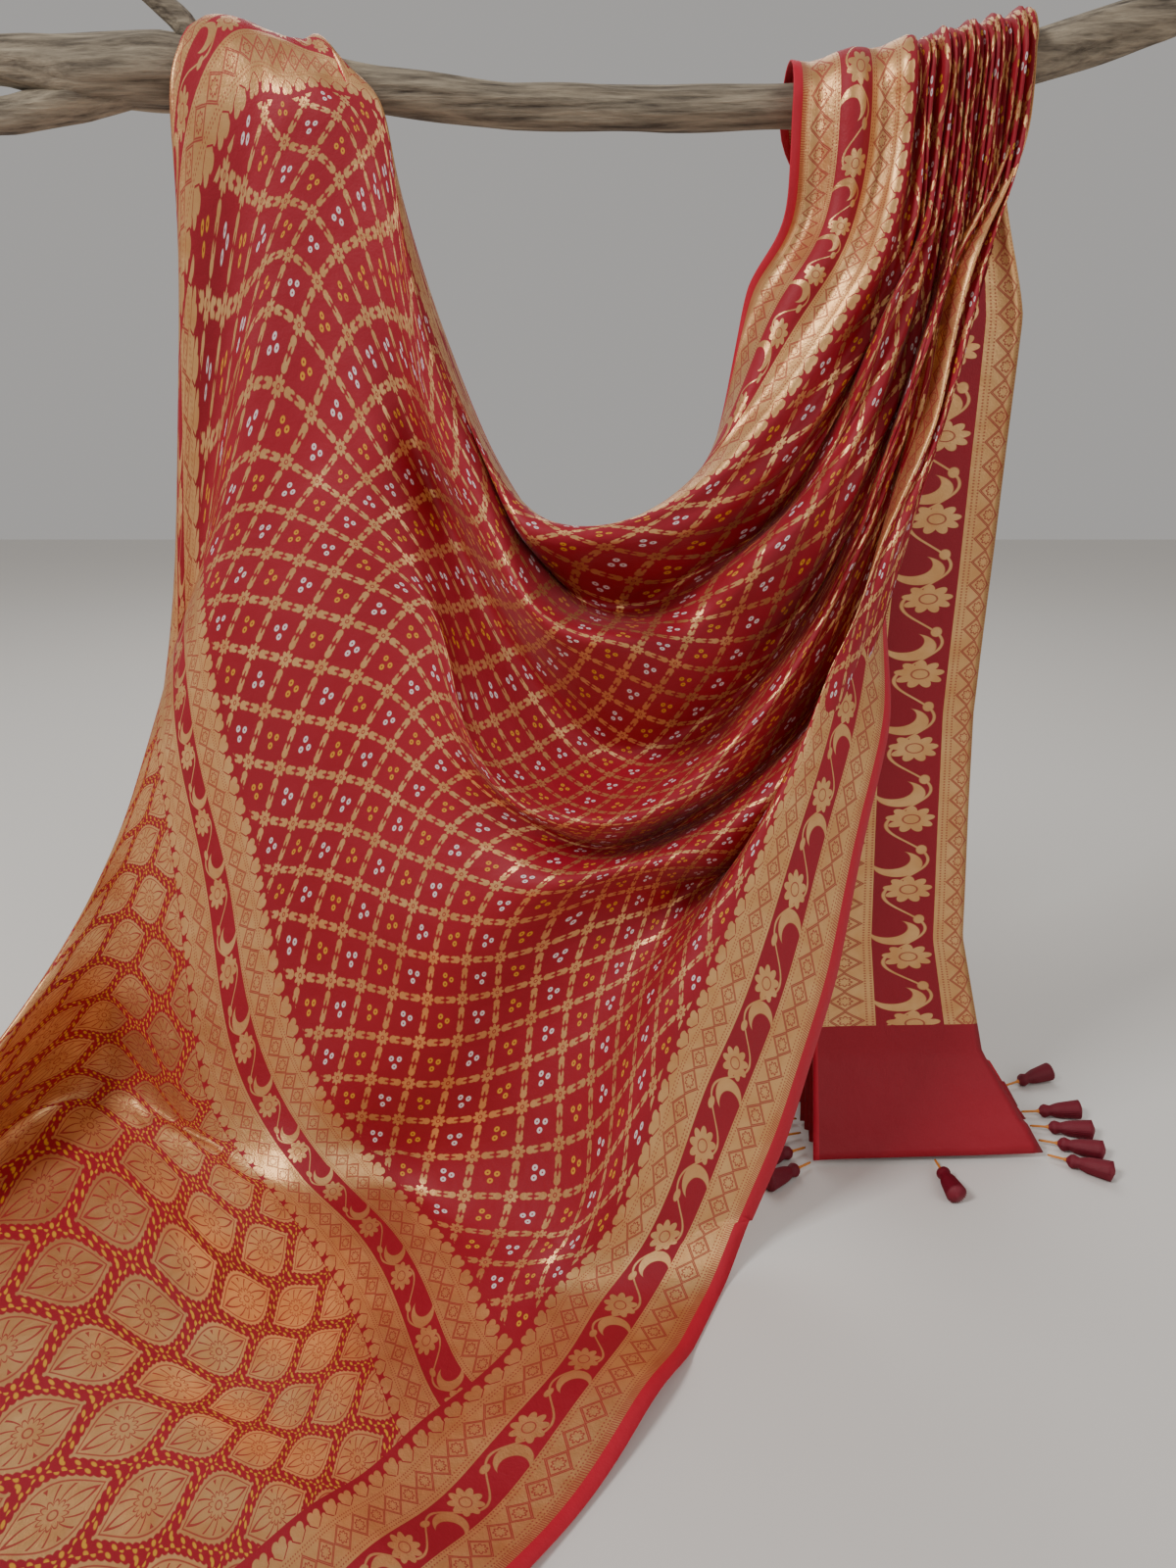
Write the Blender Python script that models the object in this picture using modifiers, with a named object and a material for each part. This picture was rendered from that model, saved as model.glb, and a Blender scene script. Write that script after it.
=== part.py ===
"""A tie-dyed dupatta with woven gold borders, draped over a driftwood branch.

Metres, +Z up.  The frame's origin is the cut end of the branch at the left, where the branch is
held.  The tables below are measured from the floor point under the middle of the swag: x to the
right, y away from the side that is looked at, z up from the floor.

The cloth is one rectangle.  "Along" is the way along its length, zero where it lies on the branch
at the right, positive down the front.  "Across" is the way across its width, zero at the selvedge
that runs down the front right.  The front of the drape is a thin-plate surface through the fold
lines; the back of it is one accordion of folds that hangs behind the branch.
"""

import math

import bmesh
import bpy
import numpy as np
from mathutils import Vector

OBJECT_NAME = "draped_dupatta"

# Cloth
CLOTH_WIDTH = 1.02
FRONT_LENGTH = 1.34
BACK_LENGTH = 0.70
CLOTH_THICKNESS = 0.0015
FLOOR_GAP = 0.0018
BRANCH_GAP = 0.0065

# Back drop
OVER_BRANCH = 0.06
BACK_REACH = 0.0195
FOLD_BLEND = 0.12
HEM_HEIGHT = 0.003

# Branch
HELD_AT = np.array([-0.34, 0.0, 0.650])
BRANCH_SIDES = 3

# Tassels
TASSEL_LENGTH = 0.042
TASSEL_CORD_RADIUS = 0.0008
TASSEL_HEAD_RADIUS = 0.0042
TASSEL_SKIRT_RADIUS = 0.0064
TASSEL_STEPS = 7
TASSEL_CLEARANCE = 0.003
FRONT_TASSELS = 13
BACK_TASSELS_ACROSS = (0.0, 0.04, 0.078, 0.17, 0.27, 0.38, 0.50, 0.60, 0.70, 0.80, 0.93, 1.02)

# Branch centre line: x, height, radius
BRANCH_COLUMNS = ("x", "height", "radius")
BRANCH_ROWS = (
    (-0.34, 0.650, 0.0090),
    (-0.325, 0.650, 0.0095),
    (-0.30, 0.649, 0.0110),
    (-0.26, 0.645, 0.0160),
    (-0.22, 0.645, 0.0175),
    (-0.17, 0.644, 0.0125),
    (-0.11, 0.636, 0.0110),
    (-0.04, 0.629, 0.0105),
    (0.04, 0.627, 0.0105),
    (0.11, 0.629, 0.0105),
    (0.17, 0.639, 0.0110),
    (0.23, 0.651, 0.0120),
    (0.29, 0.669, 0.0120),
    (0.34, 0.687, 0.0115),
)
PRONG_ROWS = (
    (-0.336, 0.6225, 0.0080),
    (-0.30, 0.6245, 0.0085),
    (-0.265, 0.632, 0.0105),
    (-0.235, 0.642, 0.0120),
)
TWIG_ROWS = (
    (-0.195, 0.648, 0.0070),
    (-0.208, 0.668, 0.0060),
    (-0.228, 0.684, 0.0050),
)

# Folds where the cloth lies on the branch at the right: across, x, reach from the branch's axis
BUNCH_COLUMNS = ("across", "x", "reach")
BUNCH_ROWS = (
    (0.000, 0.212, 0.0175),
    (0.078, 0.222, 0.0200),
    (0.170, 0.215, 0.0240),
    (0.270, 0.209, 0.0175),
    (0.380, 0.203, 0.0240),
    (0.500, 0.197, 0.0175),
    (0.600, 0.191, 0.0240),
    (0.700, 0.185, 0.0175),
    (0.800, 0.178, 0.0230),
    (0.860, 0.171, 0.0175),
    (0.930, 0.163, 0.0210),
    (1.020, 0.103, 0.0175),
)

# Accordion behind the branch: drop below it, middle x, half width, y of the front fold, fold pitch
DROP_COLUMNS = ("drop", "middle", "half_width", "front", "pitch")
DROP_ROWS = (
    (0.00, 0.195, 0.030, 0.018, 0.0045),
    (0.12, 0.197, 0.048, 0.016, 0.0050),
    (0.35, 0.195, 0.048, 0.018, 0.0055),
    (0.50, 0.200, 0.050, 0.012, 0.0060),
    (0.58, 0.210, 0.058, 0.000, 0.0065),
    (0.64, 0.228, 0.078, -0.030, 0.0080),
)

# Fold lines of the front, each a row of stations: along, across, x, y, z
FOLD_COLUMNS = ("along", "across", "x", "y", "z")
FOLDS = {
    "selvedge at the neckline": (
        (0.17, 1.02, 0.085, -0.010, 0.540),
        (0.30, 1.02, 0.060, 0.000, 0.430),
        (0.365, 1.02, 0.015, 0.005, 0.385),
        (0.43, 1.02, -0.025, 0.000, 0.410),
        (0.48, 1.02, -0.055, -0.008, 0.460),
        (0.55, 1.02, -0.090, -0.010, 0.550),
        (0.60, 1.02, -0.110, -0.019, 0.600),
        (0.63, 1.02, -0.125, -0.019, 0.640),
        (0.655, 1.02, -0.142, 0.006, 0.660),
        (0.70, 1.02, -0.165, 0.019, 0.632),
        (0.745, 1.02, -0.192, 0.004, 0.668),
        (0.775, 1.02, -0.205, -0.022, 0.645),
        (0.82, 1.02, -0.212, -0.014, 0.600),
        (0.90, 1.02, -0.218, 0.018, 0.520),
        (1.00, 1.02, -0.240, 0.045, 0.420),
        (1.10, 1.02, -0.270, 0.080, 0.300),
    ),
    "neckline roll": (
        (0.12, 0.93, 0.145, -0.040, 0.540),
        (0.245, 0.90, 0.075, -0.055, 0.435),
        (0.31, 0.885, 0.015, -0.060, 0.410),
        (0.36, 0.88, -0.030, -0.055, 0.410),
        (0.44, 0.90, -0.065, -0.040, 0.475),
        (0.54, 0.93, -0.095, -0.030, 0.565),
        (0.60, 0.942, -0.105, -0.025, 0.625),
    ),
    "hook over the branch": (
        (0.645, 0.942, -0.128, -0.022, 0.634),
        (0.70, 0.942, -0.152, -0.024, 0.634),
        (0.745, 0.942, -0.170, -0.024, 0.636),
        (0.70, 0.975, -0.158, 0.000, 0.661),
        (0.745, 0.975, -0.182, -0.010, 0.664),
        (0.79, 0.942, -0.200, -0.024, 0.590),
    ),
    "first pocket": (
        (0.14, 0.86, 0.160, -0.015, 0.520),
        (0.25, 0.83, 0.100, -0.015, 0.415),
        (0.33, 0.82, 0.030, -0.010, 0.370),
        (0.41, 0.84, -0.020, -0.020, 0.390),
    ),
    "second roll": (
        (0.15, 0.80, 0.155, -0.050, 0.535),
        (0.28, 0.77, 0.090, -0.075, 0.410),
        (0.40, 0.745, 0.020, -0.090, 0.365),
        (0.447, 0.79, -0.025, -0.080, 0.380),
        (0.488, 0.828, -0.050, -0.060, 0.420),
        (0.549, 0.87, -0.085, -0.040, 0.485),
    ),
    "second pocket": (
        (0.16, 0.70, 0.175, -0.015, 0.500),
        (0.30, 0.68, 0.115, -0.020, 0.360),
        (0.42, 0.65, 0.035, -0.020, 0.290),
        (0.51, 0.66, -0.025, -0.030, 0.315),
        (0.60, 0.74, -0.090, -0.010, 0.435),
    ),
    "third roll": (
        (0.18, 0.60, 0.170, -0.050, 0.505),
        (0.33, 0.53, 0.110, -0.060, 0.340),
        (0.46, 0.50, 0.025, -0.085, 0.265),
        (0.56, 0.52, -0.040, -0.080, 0.270),
        (0.60, 0.60, -0.070, -0.060, 0.320),
        (0.645, 0.74, -0.110, -0.030, 0.455),
        (0.665, 0.90, -0.125, -0.030, 0.615),
    ),
    "third pocket": (
        (0.17, 0.50, 0.185, -0.020, 0.500),
        (0.35, 0.42, 0.130, -0.030, 0.310),
        (0.49, 0.40, 0.045, -0.040, 0.240),
        (0.57, 0.44, -0.015, -0.055, 0.240),
    ),
    "fourth roll": (
        (0.20, 0.38, 0.180, -0.045, 0.480),
        (0.38, 0.30, 0.125, -0.070, 0.305),
        (0.505, 0.28, 0.050, -0.090, 0.240),
        (0.59, 0.36, -0.020, -0.085, 0.225),
    ),
    "tuck under the fourth roll": (
        (0.20, 0.27, 0.190, -0.020, 0.480),
        (0.41, 0.22, 0.120, -0.045, 0.240),
        (0.52, 0.23, 0.060, -0.050, 0.210),
        (0.595, 0.30, 0.000, -0.060, 0.200),
    ),
    "lower sheet": (
        (0.20, 0.17, 0.190, -0.040, 0.485),
        (0.40, 0.14, 0.135, -0.070, 0.315),
        (0.56, 0.20, 0.045, -0.070, 0.185),
        (0.623, 0.317, -0.035, -0.070, 0.185),
        (0.66, 0.20, 0.000, -0.080, 0.110),
        (0.72, 0.16, -0.010, -0.120, 0.040),
        (0.797, 0.16, -0.070, -0.125, 0.003),
    ),
    "inner edge of the right border": (
        (0.13, 0.078, 0.195, -0.040, 0.550),
        (0.23, 0.078, 0.180, -0.050, 0.475),
        (0.31, 0.078, 0.155, -0.060, 0.410),
        (0.40, 0.078, 0.130, -0.075, 0.345),
        (0.48, 0.078, 0.105, -0.090, 0.270),
        (0.55, 0.078, 0.080, -0.100, 0.200),
        (0.63, 0.078, 0.050, -0.115, 0.125),
        (0.745, 0.078, -0.010, -0.150, 0.003),
        (0.797, 0.078, -0.030, -0.190, 0.003),
        (0.85, 0.078, -0.065, -0.235, 0.003),
        (0.95, 0.078, -0.110, -0.290, 0.003),
    ),
    "left sheet, inner": (
        (0.664, 0.697, -0.120, -0.030, 0.430),
        (0.643, 0.602, -0.085, -0.045, 0.365),
        (0.643, 0.526, -0.085, -0.050, 0.310),
        (0.643, 0.45, -0.080, -0.055, 0.260),
        (0.643, 0.412, -0.075, -0.065, 0.235),
        (0.69, 0.45, -0.115, -0.045, 0.240),
        (0.705, 0.317, -0.085, -0.065, 0.125),
    ),
    "left sheet, outer": (
        (0.70, 0.90, -0.150, -0.025, 0.605),
        (0.68, 0.83, -0.140, -0.025, 0.560),
        (0.74, 0.90, -0.175, -0.020, 0.585),
        (0.746, 0.811, -0.185, -0.015, 0.505),
        (0.746, 0.735, -0.185, -0.015, 0.440),
        (0.705, 0.735, -0.150, -0.020, 0.455),
    ),
    "inner edge of the cross border": (
        (0.787, 0.659, -0.215, -0.010, 0.360),
        (0.787, 0.583, -0.210, -0.010, 0.290),
        (0.787, 0.507, -0.195, -0.015, 0.220),
        (0.787, 0.45, -0.190, -0.020, 0.175),
        (0.787, 0.393, -0.175, -0.030, 0.115),
        (0.787, 0.317, -0.150, -0.050, 0.060),
        (0.787, 0.241, -0.115, -0.052, 0.006),
    ),
    "left side": (
        (0.79, 0.83, -0.225, 0.005, 0.400),
        (0.84, 0.78, -0.245, 0.010, 0.355),
        (0.90, 0.68, -0.275, 0.015, 0.280),
        (0.95, 0.56, -0.305, 0.020, 0.185),
        (1.00, 0.45, -0.335, 0.015, 0.090),
        (1.05, 0.35, -0.370, 0.000, 0.010),
    ),
    "right selvedge": (
        (0.12, 0.0, 0.185, -0.016, 0.550),
        (0.25, 0.0, 0.170, -0.022, 0.460),
        (0.33, 0.0, 0.165, -0.035, 0.385),
        (0.40, 0.0, 0.170, -0.050, 0.315),
        (0.46, 0.0, 0.160, -0.060, 0.250),
        (0.53, 0.0, 0.145, -0.075, 0.160),
        (0.61, 0.0, 0.120, -0.090, 0.070),
        (0.70, 0.0, 0.085, -0.130, 0.003),
        (0.77, 0.0, 0.050, -0.200, 0.003),
        (0.83, 0.0, 0.020, -0.250, 0.003),
        (0.90, 0.0, -0.025, -0.310, 0.003),
        (1.10, 0.0, -0.140, -0.460, 0.003),
        (1.34, 0.0, -0.280, -0.650, 0.003),
    ),
    "panel on the floor": (
        (0.90, 0.20, -0.140, -0.170, 0.003),
        (0.90, 0.30, -0.200, -0.085, 0.012),
        (0.90, 0.42, -0.265, -0.020, 0.050),
        (1.00, 0.25, -0.215, -0.170, 0.003),
        (1.05, 0.15, -0.195, -0.260, 0.003),
        (1.15, 0.45, -0.440, -0.220, 0.003),
        (1.15, 0.70, -0.420, -0.020, 0.003),
        (1.20, 0.95, -0.300, 0.120, 0.003),
    ),
    "front end": (
        (1.34, 0.25, -0.460, -0.520, 0.003),
        (1.34, 0.50, -0.580, -0.320, 0.003),
        (1.34, 0.75, -0.550, -0.080, 0.003),
        (1.34, 1.02, -0.360, 0.140, 0.003),
    ),
}

# Rows of faces, closer together where the cloth bends over the branch: from, to, faces
ALONG_SPANS = ((-0.70, -0.56, 4), (-0.56, -0.14, 7), (-0.14, 0.04, 12), (0.04, 0.56, 13),
               (0.56, 0.80, 15), (0.80, 1.34, 9))
FACES_PER_FOLD = 3

# Finishes: colour, roughness, metallic
FINISHES = {
    "dupatta": ((0.42, 0.02, 0.04), 0.60, 0.15),
    "branch": ((0.13, 0.11, 0.09), 0.85, 0.0),
    "tassel": ((0.22, 0.01, 0.03), 0.70, 0.0),
}


def clear_scene():
    """Removes every object that the file opened with."""
    for existing in list(bpy.data.objects):
        bpy.data.objects.remove(existing, do_unlink=True)


def finish_for(name, kind):
    """A Principled material of one object's own."""
    colour, roughness, metallic = FINISHES[kind]
    material = bpy.data.materials.new(name + "_finish")
    material.use_nodes = True
    shader = material.node_tree.nodes["Principled BSDF"]
    shader.inputs["Base Color"].default_value = (*colour, 1.0)
    shader.inputs["Roughness"].default_value = roughness
    shader.inputs["Metallic"].default_value = metallic
    material.diffuse_color = (*colour, 1.0)
    return material


def add_object(name, mesh, kind, collection):
    """Links a mesh as a named object with its finish."""
    made = bpy.data.objects.new(name, mesh)
    collection.objects.link(made)
    if not mesh.materials:
        mesh.materials.append(finish_for(name, kind))
    return made


def column(rows, names, name):
    """One named column of a table."""
    return np.array([row[names.index(name)] for row in rows])


def stations(spans):
    """Evenly spaced stations within each span, joined end to end."""
    parts = [np.linspace(start, end, faces, endpoint=False) for start, end, faces in spans]
    return np.concatenate(parts + [[spans[-1][1]]])


def across_stations():
    """Stations across the cloth: every fold of the bunch is a row, with even rows between."""
    folds = column(BUNCH_ROWS, BUNCH_COLUMNS, "across")
    return stations([(start, end, FACES_PER_FOLD) for start, end in zip(folds, folds[1:])])


def branch_at(x, name):
    """Height or radius of the branch at x."""
    return np.interp(x, column(BRANCH_ROWS, BRANCH_COLUMNS, "x"),
                     column(BRANCH_ROWS, BRANCH_COLUMNS, name))


def tie_points():
    """Cloth coordinates and places of the fold lines and of the bunch on the branch."""
    ties = [row for rows in FOLDS.values() for row in rows]
    for across, x, reach in BUNCH_ROWS:
        height = float(branch_at(x, "height"))
        ties.append((0.0, across, x, -reach, height))
        ties.append((0.035, across, x, -max(0.9 * reach, 0.017), height - 0.034))
    ties = np.array(ties)
    return ties[:, :2], ties[:, 2:]


def plate_kernel(first, second):
    """Thin-plate kernel r squared log r between two sets of cloth coordinates."""
    distance = np.linalg.norm(first[:, None] - second[None], axis=-1)
    return distance ** 2 * np.log(np.maximum(distance, 1e-9))


def front_surface():
    """A function from cloth coordinates to places: the thin plate bent through the tie points."""
    flat, places = tie_points()
    count = len(flat)
    linear = np.hstack([np.ones((count, 1)), flat])
    system = np.zeros((count + 3, count + 3))
    system[:count, :count] = plate_kernel(flat, flat) + 1e-5 * np.eye(count)
    system[:count, count:] = linear
    system[count:, :count] = linear.T
    weights = np.linalg.solve(system, np.vstack([places, np.zeros((3, 3))]))

    def surface(points):
        plane = np.hstack([np.ones((len(points), 1)), points])
        return plate_kernel(points, flat) @ weights[:count] + plane @ weights[count:]

    return surface


def back_drop(along, across, top):
    """Places behind the branch: round over it, then blended into the accordion of folds.

    top is where the same threads lie at the front of the branch.
    """
    gone = -along
    drop = np.maximum(gone - OVER_BRANCH, 0.0)
    over = np.clip(gone / OVER_BRANCH, 0.0, 1.0)
    reach = (1.0 - over) * -top[:, 1] + over * BACK_REACH
    turn = over * math.pi
    fold = np.interp(across, column(BUNCH_ROWS, BUNCH_COLUMNS, "across"),
                     np.arange(len(BUNCH_ROWS)))
    shape = {name: np.interp(drop, column(DROP_ROWS, DROP_COLUMNS, "drop"),
                             column(DROP_ROWS, DROP_COLUMNS, name)) for name in DROP_COLUMNS[1:]}
    folded_x = shape["middle"] - shape["half_width"] * np.cos(math.pi * fold)
    folded_y = shape["front"] + shape["pitch"] * fold
    blend = np.clip(drop / FOLD_BLEND, 0.0, 1.0)
    parted = np.clip(3.0 * blend, 0.0, 1.0)
    blend = blend * blend * (3.0 - 2.0 * blend)
    x = (1.0 - blend) * top[:, 0] + blend * folded_x
    y = np.where(gone < OVER_BRANCH, -reach * np.cos(turn),
                 (1.0 - parted) * reach + parted * folded_y)
    fallen = drop / (BACK_LENGTH - OVER_BRANCH)
    z = top[:, 2] + (HEM_HEIGHT - top[:, 2]) * fallen + reach * np.sin(turn)
    return np.stack([x, y, z], axis=1)


def keep_clear(places):
    """Lifts the cloth off the floor and off the branch by their gaps, softly."""
    out = places.copy()
    over = out[:, 2] - FLOOR_GAP
    out[:, 2] = FLOOR_GAP + 0.5 * (over + np.sqrt(over ** 2 + 0.001 ** 2))
    centre = branch_at(out[:, 0], "height")
    least = branch_at(out[:, 0], "radius") + BRANCH_GAP
    rise = out[:, 2] - centre
    distance = np.maximum(np.hypot(out[:, 1], rise), 1e-6)
    push = np.maximum(least / distance, 1.0)
    out[:, 1] *= push
    out[:, 2] = centre + rise * push
    return out


def cloth_places(along, across):
    """Places of cloth coordinates, measured from the floor under the swag."""
    surface = front_surface()
    places = surface(np.stack([np.maximum(along, 0.0), across], axis=1))
    behind = along < 0.0
    places[behind] = back_drop(along[behind], across[behind], places[behind])
    return keep_clear(places)


def build_cloth(collection):
    """The dupatta: a grid laid on the drape and given its thickness."""
    along, across = stations(ALONG_SPANS), across_stations()
    grid = bmesh.new()
    bmesh.ops.create_grid(grid, x_segments=len(along) - 1, y_segments=len(across) - 1, size=0.5)
    mesh = bpy.data.meshes.new("dupatta")
    grid.to_mesh(mesh)
    grid.free()
    unit = np.empty(len(mesh.vertices) * 3)
    mesh.vertices.foreach_get("co", unit)
    unit = unit.reshape(-1, 3) + 0.5
    row = np.rint(unit[:, 0] * (len(along) - 1)).astype(int)
    place = np.rint(unit[:, 1] * (len(across) - 1)).astype(int)
    places = cloth_places(along[row], across[place]) - HELD_AT
    mesh.vertices.foreach_set("co", places.ravel())
    mesh.update()
    cloth = add_object("dupatta", mesh, "dupatta", collection)
    mesh.shade_smooth()
    wall = cloth.modifiers.new("thickness", "SOLIDIFY")
    wall.thickness = CLOTH_THICKNESS
    wall.offset = 0.0


def limb(name, rows, collection):
    """A round limb of the branch, of changing thickness, as a closed mesh object."""
    curve = bpy.data.curves.new(name, "CURVE")
    curve.dimensions = "3D"
    curve.bevel_depth = 1.0
    curve.bevel_resolution = BRANCH_SIDES
    curve.use_fill_caps = True
    spline = curve.splines.new("POLY")
    spline.points.add(len(rows) - 1)
    for point, (x, height, radius) in zip(spline.points, rows):
        point.co = (*(np.array([x, 0.0, height]) - HELD_AT), 1.0)
        point.radius = radius
    guide = bpy.data.objects.new(name + "_guide", curve)
    collection.objects.link(guide)
    evaluated = guide.evaluated_get(bpy.context.evaluated_depsgraph_get())
    mesh = bpy.data.meshes.new_from_object(evaluated)
    bpy.data.objects.remove(guide, do_unlink=True)
    welded = bmesh.new()
    welded.from_mesh(mesh)
    bmesh.ops.remove_doubles(welded, verts=welded.verts, dist=1e-6)
    bmesh.ops.recalc_face_normals(welded, faces=welded.faces)
    welded.to_mesh(mesh)
    welded.free()
    mesh.name = name
    return add_object(name, mesh, "branch", collection)


def build_branch(collection, cutters):
    """The branch, its forked end and its broken twig, grown together as one piece."""
    branch = limb("branch", BRANCH_ROWS, collection)
    for name, rows in (("prong", PRONG_ROWS), ("twig", TWIG_ROWS)):
        tool = limb(name, rows, cutters)
        tool.hide_render = True
        tool.display_type = "WIRE"
        joined = branch.modifiers.new(name, "BOOLEAN")
        joined.operation = "UNION"
        joined.solver = "EXACT"
        joined.object = tool


def tassel_mesh():
    """Half outline of a tassel, top to bottom: cord, bound head and spreading skirt."""
    outline = (
        (0.0, 0.0),
        (TASSEL_CORD_RADIUS, 0.0),
        (TASSEL_CORD_RADIUS, 0.28),
        (TASSEL_HEAD_RADIUS, 0.34),
        (TASSEL_HEAD_RADIUS, 0.42),
        (0.7 * TASSEL_HEAD_RADIUS, 0.48),
        (TASSEL_SKIRT_RADIUS, 1.0),
        (0.0, 1.0),
    )
    points = [(radius, 0.0, -share * TASSEL_LENGTH) for radius, share in outline]
    mesh = bpy.data.meshes.new("tassel")
    mesh.from_pydata(points, [(i, i + 1) for i in range(len(points) - 1)], [])
    mesh.materials.append(finish_for("tassel", "tassel"))
    return mesh


def add_tassel(name, mesh, start, heading, collection):
    """Lays one tassel on the floor, its cord starting just off the hem."""
    tassel = add_object(name, mesh, "tassel", collection)
    turned = tassel.modifiers.new("turned", "SCREW")
    turned.axis = "Z"
    turned.steps = TASSEL_STEPS
    turned.render_steps = TASSEL_STEPS
    turned.use_merge_vertices = True
    turned.merge_threshold = 0.00001
    away = Vector((heading[0], heading[1], 0.0)).normalized()
    away.z = (TASSEL_SKIRT_RADIUS + 0.0006 - start[2]) / TASSEL_LENGTH
    away.normalize()
    first = Vector(start) + TASSEL_CLEARANCE * away
    tassel.location = first - Vector(HELD_AT)
    tassel.rotation_mode = "QUATERNION"
    tassel.rotation_quaternion = Vector((0.0, 0.0, -1.0)).rotation_difference(away)


def build_tassels(collection):
    """Tassels along both ends, each pointing away from the cloth that it hangs on."""
    mesh = tassel_mesh()
    across = np.linspace(0.02, CLOTH_WIDTH - 0.02, FRONT_TASSELS)
    hem = cloth_places(np.full(FRONT_TASSELS, FRONT_LENGTH), across)
    inner = cloth_places(np.full(FRONT_TASSELS, FRONT_LENGTH - 0.05), across)
    for number, (place, away) in enumerate(zip(hem, hem - inner), start=1):
        add_tassel(f"front_tassel_{number:02d}", mesh, place, away, collection)
    across = np.array(BACK_TASSELS_ACROSS)
    hem = cloth_places(np.full(len(across), -BACK_LENGTH), across)
    middle = np.array([DROP_ROWS[-1][1], 0.03, 0.0])
    for number, (place, away) in enumerate(zip(hem, hem - middle), start=1):
        add_tassel(f"back_tassel_{number:02d}", mesh, place, away, collection)


def main():
    """Builds the cloth, the branch and the tassels."""
    clear_scene()
    collection = bpy.data.collections.new(OBJECT_NAME)
    cutters = bpy.data.collections.new("cutters")
    bpy.context.scene.collection.children.link(collection)
    bpy.context.scene.collection.children.link(cutters)
    build_cloth(collection)
    build_branch(collection, cutters)
    build_tassels(collection)


main()
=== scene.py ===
"""A red tie-dyed dupatta with woven gold borders, draped over a weathered driftwood branch.

Lengths are metres.  The frame's origin is the branch's cut end at the left; the tables of the
drape are measured from the floor point under the middle of the swag, FLOOR_POINT below.

On the cloth, "along" runs down its length and "across" over its width.  Both are kept in the UV
map "Weave", in metres, so that every woven motif has its real size on the bent cloth.
"""

import logging
import math
from dataclasses import dataclass, field
from typing import Any, Iterable, Mapping, Sequence

import bpy
import numpy as np
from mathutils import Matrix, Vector

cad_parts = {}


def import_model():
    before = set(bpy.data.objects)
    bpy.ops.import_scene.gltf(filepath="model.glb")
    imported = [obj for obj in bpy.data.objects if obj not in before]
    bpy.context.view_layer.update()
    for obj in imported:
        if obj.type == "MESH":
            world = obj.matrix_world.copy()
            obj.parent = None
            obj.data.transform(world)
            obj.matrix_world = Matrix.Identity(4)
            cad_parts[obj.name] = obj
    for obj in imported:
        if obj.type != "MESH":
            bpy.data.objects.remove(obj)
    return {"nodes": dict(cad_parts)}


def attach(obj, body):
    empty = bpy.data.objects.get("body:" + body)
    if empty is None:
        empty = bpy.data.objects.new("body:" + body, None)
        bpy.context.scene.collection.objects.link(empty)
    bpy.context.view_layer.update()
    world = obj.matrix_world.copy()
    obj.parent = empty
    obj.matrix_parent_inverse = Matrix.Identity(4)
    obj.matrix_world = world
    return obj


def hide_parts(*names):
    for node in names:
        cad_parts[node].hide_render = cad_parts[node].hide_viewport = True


LOG = logging.getLogger("dupatta")
FLOOR_POINT = np.array([0.34, 0.0, -0.650])

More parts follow.
